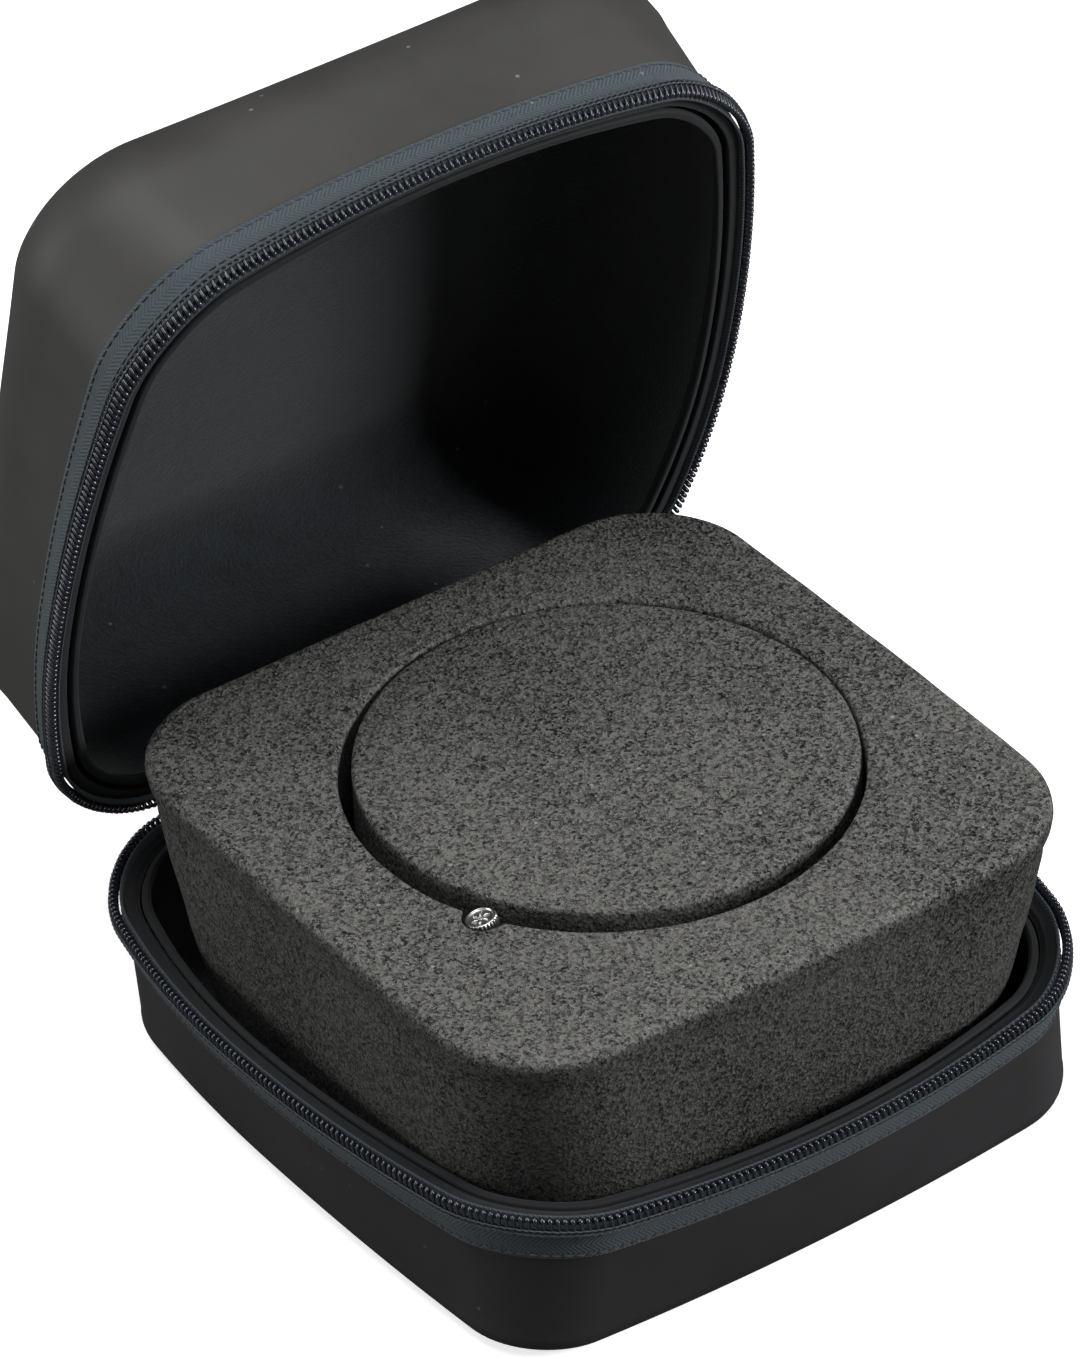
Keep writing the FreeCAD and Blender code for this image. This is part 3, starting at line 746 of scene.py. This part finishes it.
def build_zipper_end():
    """Closed end of the chain with meshed loops, its tab, the slider and the puller."""
    mid = HINGE.y + 2.4
    loops = []
    start, end, parting = 19.6, 38.4, 29.5
    pitch = 1.32
    for side in (-1, 1):
        path = []
        radii = []
        turns = int((end - start) / pitch)
        for n in range(turns * 14 + 1):
            x = start + 0.4 + (pitch * n / 14) + (0.0 if side > 0 else pitch / 2)
            angle = 2 * math.pi * n / 14
            reach = 0.15 if x < parting else 1.5
            x = min(x, end)
            z = side * (reach + 1.15 - 1.05 * math.cos(angle) + (0.3 if x >= parting else 0.0))
            path.append(to_mid(Vector((x, mid + 0.56 * math.sin(angle), RIM_Z + z))))
            radii.append(0.3)
        loops.append(tube(path, radii))
    chain = rings_object("end_chain_loops", loops)
    dress(chain, "zipper_end", "coil", MATERIALS["coil"], "zipper_end_chain")
    wings = []
    for side in (-1, 1):
        profile = [(-0.35, 2.5), (0.1, 3.6), (0.3, 3.9), (0.75, 3.88), (0.55, 3.3), (0.15, 2.3)]
        wings.append([[to_mid(Vector((x, mid + y - 0.4, RIM_Z + side * z)))
                       for y, z in profile] for x in (19.6, 24.0, 29.0, 34.0, 38.4)])
    tape = rings_object("end_chain_tape", wings)
    dress(tape, "zipper_end", "tape", MATERIALS["tape"])
    recolour("tape", "zipper_end_tab")
    recolour("dark_metal", "zipper_slider", "zipper_puller")


# ---------------------------------------------------------------- the insert

FOAM_HALF_X, FOAM_HALF_Y = 65.2, 65.0
HOLE, HOLE_RADIUS = Vector((2.4, 1.9)), 47.5
DISC, DISC_RADIUS, DISC_PLAY = Vector((5.2, 4.5)), 45.9, 0.35
KNOB_FACE, KNOB_LEAN, KNOB_TILT = Vector((-40.4, -20.6, 66.0)), math.radians(143.0), math.radians(15.0)


def foam_ring(inset, radius, z, count=AROUND):
    points = outline(FOAM_HALF_X - inset, FOAM_HALF_Y - inset, FOAM_HALF_Y - inset, radius, radius,
                     1.0, 1.0, 0.0, count)
    return [Vector((p.x, p.y, z)) for p in points]


def round_ring(centre, radius, z, like):
    """Circle whose points lie in the same directions as those of another ring."""
    ring = []
    for p in like:
        way = Vector((p.x - centre.x, p.y - centre.y)).normalized()
        ring.append(Vector((centre.x + way.x * radius, centre.y + way.y * radius, z)))
    return ring


def hole_ring(grow, z, like):
    """The block's hole: round, but given way on the side that the disc is pushed to."""
    ring = []
    for p in like:
        way = Vector((p.x - HOLE.x, p.y - HOLE.y)).normalized()
        gap = DISC - HOLE
        along = gap.dot(way)
        reach = DISC_RADIUS + DISC_PLAY
        far = along + math.sqrt(reach ** 2 - gap.length_squared + along ** 2)
        radius = max(HOLE_RADIUS, far) + grow
        ring.append(Vector((HOLE.x + way.x * radius, HOLE.y + way.y * radius, z)))
    return ring


def uneven(ring, amount, seed):
    """Slight hand-cut unevenness of an edge."""
    centre = sum(ring, Vector((0, 0, 0))) / len(ring)
    moved = []
    for i, p in enumerate(ring):
        turn = 2 * math.pi * i / len(ring)
        wave = (math.sin(7 * turn + seed) * 0.4 + math.sin(17 * turn + 2.1 * seed) * 0.35
                + math.sin(41 * turn) * 0.25)
        way = Vector((p.x - centre.x, p.y - centre.y, 0)).normalized()
        moved.append(p + way * wave * amount)
    return moved


def build_foam():
    """Foam block with its round hole, the loose disc and the floor pad."""
    low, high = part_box("foam_block")
    top = high[2] / MM
    bottom = low[2] / MM
    side = [(bottom + 0.1, 9.4, 30.0), (bottom + 1.2, 8.8, 30.0), (16.0, 5.2, 30.0), (22.0, 4.0, 30.0),
            (28.0, 3.0, 30.0), (33.0, 2.35, 29.5), (37.0, 1.95, 29.0), (42.0, 1.6, 27.5), (47.0, 1.25, 26.0),
            (52.0, 1.0, 24.6), (55.5, 0.85, 23.6), (58.0, 0.95, 23.0), (60.0, 0.6, 22.6), (62.0, 0.2, 22.1),
            (63.6, 0.02, 21.9), (64.6, 0.12, 21.8), (65.2, 0.45, 21.6), (65.6, 0.95, 21.2), (top, 1.8, 20.5)]
    rings = [uneven(foam_ring(inset, radius, z), 0.10, z) for z, inset, radius in side]
    edge = rings[-1]
    rim = hole_ring(1.0, top, edge)
    for share in (0.25, 0.5, 0.75):
        rings.append([a.lerp(b, share) for a, b in zip(edge, rim)])
    rings.append(rim)
    for grow, z in ((0.45, -0.12), (0.12, -0.45), (0.0, -1.0), (0.05, -4.0), (0.0, -9.0), (0.0, -20.0),
                    (0.0, -40.0)):
        rings.append(uneven(hole_ring(grow, top + z, edge), 0.06, 3.0))
    rings.append(hole_ring(0.0, bottom + 0.1, edge))
    dent_pocket(rings)
    block = skin_mesh("foam_ring_block", rings, closed_profile=True)
    dress(block, BASE, "foam", MATERIALS["foam"], "foam_block")

    disc_low, disc_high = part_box("foam_disc")
    flat = [Vector((math.sin(2 * math.pi * i / AROUND), math.cos(2 * math.pi * i / AROUND), 0)) * 10
            + Vector((DISC.x, DISC.y, 0)) for i in range(AROUND)]
    disc_top = disc_high[2] / MM
    disc_bottom = disc_low[2] / MM
    profile = [(0.6, disc_bottom), (0.0, disc_bottom + 0.6), (0.0, 30.0), (0.0, disc_top - 8.0),
               (-0.03, disc_top - 3.0), (0.0, disc_top - 1.1), (0.15, disc_top - 0.5),
               (0.5, disc_top - 0.15), (1.0, disc_top)]
    rings = [uneven(round_ring(DISC, DISC_RADIUS - inset, z, flat), 0.07, 1.3 * z) for inset, z in profile]
    base_ring = shrink(rings[0], 0.02)
    disc = skin_mesh("foam_round_disc", [base_ring] + rings, fill_end=True)
    dress(disc, "disc", "foam", MATERIALS["foam"], "foam_disc")

    pad_low, pad_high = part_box("foam_floor_pad")
    z0, z1 = pad_low[2] / MM, pad_high[2] / MM
    rings = [foam_ring(inset, 30.0, z) for z, inset in
             ((z0, 12.0), (z0 + 0.3, 11.5), (z0 + 1.4, 10.4), (z1 - 0.5, 9.7), (z1, 10.2))]
    pad = skin_mesh("foam_base_pad", [shrink(rings[0], 0.02)] + rings, fill_end=True)
    dress(pad, BASE, "foam", MATERIALS["foam"], "foam_floor_pad")


def dent_pocket(rings):
    """Push the hole's edge outwards where the knob is pressed into the foam."""
    low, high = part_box("knob_head")
    centre = Vector(((low[0] + high[0]) / 2, (low[1] + high[1]) / 2)) / MM
    reach = 3.7
    for ring in rings:
        for p in ring:
            away = Vector((p.x, p.y)) - centre
            if away.length < reach and p.z > 50.0:
                out = Vector((p.x - HOLE.x, p.y - HOLE.y)).normalized()
                along = away - out * away.dot(out)
                push = math.sqrt(max(reach ** 2 - along.length_squared, 0.0))
                target = centre + along + out * push
                p.x, p.y = target.x, target.y


def build_knob():
    """Ribbed metal knob with a plain raised pattern on its face."""
    face = KNOB_FACE
    level = Vector((math.cos(KNOB_LEAN), math.sin(KNOB_LEAN), 0.0))
    normal = level * math.sin(KNOB_TILT) + Vector((0.0, 0.0, math.cos(KNOB_TILT)))
    across = normal.orthogonal().normalized()
    other = normal.cross(across)
    ribs = 26
    count = ribs * 8
    profile = [(0.6, -2.6, 0.0), (2.5, -2.6, 0.2), (2.85, -2.45, 0.8), (2.98, -2.2, 1.0), (3.0, -1.3, 1.0),
               (3.0, -0.55, 1.0), (2.92, -0.3, 0.7), (2.80, -0.12, 0.15), (2.68, -0.03, 0.0),
               (2.52, 0.0, 0.0), (2.42, -0.05, 0.0), (2.34, -0.22, 0.0), (2.2, -0.28, 0.0),
               (1.2, -0.26, 0.0), (0.5, -0.24, 0.0), (0.05, -0.24, 0.0)]
    rings = []
    for radius, rise, ribbed in profile:
        ring = []
        for i in range(count):
            angle = 2 * math.pi * i / count
            wave = math.cos(ribs * angle)
            r = radius + ribbed * (0.13 * (abs(wave) ** 0.6) * (1 if wave > 0 else -1) - 0.10)
            ring.append(face + across * r * math.cos(angle) + other * r * math.sin(angle) + normal * rise)
        rings.append(ring)
    head = skin_mesh("knob_ribbed_head", rings)
    dress(head, "knob", "bright_metal", MATERIALS["bright_metal"], "knob_head")
    seat = face - normal * 0.2
    petals = []
    for n in range(6):
        turn = 2 * math.pi * n / 6
        way = across * math.cos(turn) + other * math.sin(turn)
        cross = across * -math.sin(turn) + other * math.cos(turn)
        spine = [seat + way * (0.55 + 0.3 * k) + cross * 0.25 * math.sin(math.pi * k / 4) for k in range(5)]
        petals.append(tube(spine, [0.10, 0.2, 0.24, 0.2, 0.10], 8))
    turns = [2 * math.pi * k / 24 for k in range(25)]
    circle = [seat + (across * math.cos(t) + other * math.sin(t)) * 0.42 for t in turns]
    petals.append(tube(circle, [0.1] * len(circle), 8))
    bosses = rings_object("knob_bosses", petals)
    dress(bosses, "knob", "bright_metal", MATERIALS["bright_metal"])
    recolour("bright_metal", "knob_stem")


# ---------------------------------------------------------------- stage

def build_stage():
    """Pale floor, soft lights and the camera."""
    scene = bpy.context.scene
    mesh = bpy.data.meshes.new("floor")
    reach = 6.0
    mesh.from_pydata([(-reach, -reach, -0.0002), (reach, -reach, -0.0002), (reach, reach, -0.0002),
                      (-reach, reach, -0.0002)], [], [(0, 1, 2, 3)])
    floor = bpy.data.objects.new("floor", mesh)
    scene.collection.objects.link(floor)
    material, tree, shader = start_material("pale_floor")
    noise = add(tree, "TexNoise", {"Vector": place_of(tree), "Scale": 3.0, "Detail": 2.0})
    pale = blend_colour(tree, noise.outputs[0], (0.92, 0.92, 0.92), (0.95, 0.95, 0.95))
    dim = add(tree, "BsdfDiffuse", {"Color": (0.16, 0.16, 0.16, 1.0)})
    tree.links.new(pale, shader.inputs["Base Color"])
    tree.links.new(pale, shader.inputs["Emission Color"])
    shader.inputs["Emission Strength"].default_value = 0.75
    choice = add(tree, "MixShader")
    tree.links.new(add(tree, "LightPath").outputs["Is Camera Ray"], choice.inputs[0])
    tree.links.new(dim.outputs[0], choice.inputs[1])
    tree.links.new(shader.outputs[0], choice.inputs[2])
    tree.links.new(choice.outputs[0], tree.nodes["Material Output"].inputs["Surface"])
    shader.inputs["Roughness"].default_value = 0.9
    shader.inputs["Specular IOR Level"].default_value = 0.1
    floor.data.materials.append(material)

    world = bpy.data.worlds.new("studio")
    world.use_nodes = True
    background = world.node_tree.nodes["Background"]
    background.inputs[0].default_value = (1.0, 1.0, 1.0, 1.0)
    background.inputs[1].default_value = 0.07
    scene.world = world
    target = Vector((0.0, 0.02, 0.07))
    lamps = (("key", (-0.2, 0.0, 1.5), 1.1, 18.0), ("right", (1.15, -1.2, 0.7), 0.6, 26.0),
             ("left", (-1.5, 0.9, 0.45), 0.8, 12.0))
    for name, place, size, power in lamps:
        lamp = bpy.data.lights.new(name, "AREA")
        lamp.shape = "SQUARE"
        lamp.size = size
        lamp.energy = power
        obj = bpy.data.objects.new(name, lamp)
        obj.location = place
        obj.rotation_euler = (target - Vector(place)).to_track_quat("-Z", "Y").to_euler()
        scene.collection.objects.link(obj)

    azimuth, elevation, roll = math.radians(34.479), math.radians(36.57), math.radians(-1.963)
    distance = 1.59019
    aim = Vector((0.03769, 0.0712, RIM_Z * MM))
    view = Vector((math.sin(azimuth) * math.cos(elevation), math.cos(azimuth) * math.cos(elevation),
                   -math.sin(elevation)))
    right = Vector((math.cos(azimuth), -math.sin(azimuth), 0.0))
    up = right.cross(view)
    rolled_right = math.cos(roll) * right + math.sin(roll) * up
    rolled_up = -math.sin(roll) * right + math.cos(roll) * up
    turn = Matrix((rolled_right, rolled_up, -view)).transposed().to_4x4()
    lens = bpy.data.cameras.new("camera")
    lens.sensor_fit = "VERTICAL"
    lens.sensor_height = 36.0
    lens.lens = 222.97
    lens.shift_x = -0.00132
    lens.shift_y = -0.0189
    lens.clip_end = 20.0
    camera = bpy.data.objects.new("camera", lens)
    camera.matrix_world = Matrix.Translation(aim - view * distance) @ turn
    scene.collection.objects.link(camera)
    scene.camera = camera
    scene.view_settings.view_transform = "Standard"


# ---------------------------------------------------------------- add-on

def colour(name, value):
    return FloatVectorProperty(name=name, description=name + " of the case", subtype="COLOR", size=3,
                               min=0.0, max=1.0, default=value)


class CaseColours(bpy.types.PropertyGroup):
    """Colours of the case."""
    base_skin: colour("Base skin", (0.024, 0.0235, 0.026))
    lid_skin: colour("Lid skin", (0.047, 0.046, 0.044))
    core: colour("Moulded core", (0.01, 0.01, 0.011))
    velour: colour("Lining", (0.016, 0.020, 0.024))
    rolled: colour("Rolled lining edge", (0.012, 0.015, 0.018))
    foam: colour("Foam", (0.072, 0.071, 0.067))
    tape: colour("Zipper tape", (0.036, 0.050, 0.060))
    thread: colour("Thread", (0.045, 0.060, 0.072))
    coil: colour("Zipper coil", (0.014, 0.017, 0.026))
    dark_metal: colour("Slider", (0.05, 0.05, 0.055))
    bright_metal: colour("Knob", (0.62, 0.62, 0.60))


def operator(label, work):
    """Operator class for one group of pieces."""
    name = label.lower().replace(" ", "_")

    def execute(self, context):
        work()
        return {"FINISHED"}

    return type("CASE_OT_" + name, (bpy.types.Operator,),
                {"bl_idname": "case." + name, "bl_label": label, "__doc__": work.__doc__, "execute": execute})


def build_materials():
    """Materials and their shared node groups."""
    MATERIALS.update(make_materials(bpy.context.scene.case_colours))


STEPS = [operator(label, work) for label, work in (
    ("Materials", build_materials), ("Skins", build_skins), ("Linings", build_linings),
    ("Tapes", build_tapes), ("Coils", build_coils), ("Hinge", build_hinge),
    ("Zipper end", build_zipper_end), ("Foam", build_foam), ("Knob", build_knob), ("Stage", build_stage))]


class CASE_PT_panel(bpy.types.Panel):
    """Carry case in the sidebar."""
    bl_label = "Carry case"
    bl_idname = "CASE_PT_panel"
    bl_space_type = "VIEW_3D"
    bl_region_type = "UI"
    bl_category = "Carry case"

    def draw(self, context):
        for key in CaseColours.__annotations__:
            self.layout.prop(context.scene.case_colours, key)
        for step in STEPS:
            self.layout.operator(step.bl_idname)


CLASSES = [CaseColours, *STEPS, CASE_PT_panel]


def register():
    for cls in CLASSES:
        bpy.utils.register_class(cls)
    bpy.types.Scene.case_colours = PointerProperty(type=CaseColours)


def unregister():
    del bpy.types.Scene.case_colours
    for cls in reversed(CLASSES):
        bpy.utils.unregister_class(cls)


def main():
    register()
    for step in STEPS:
        group, name = step.bl_idname.split(".")
        getattr(getattr(bpy.ops, group), name)()


if __name__ == "__main__":
    main()
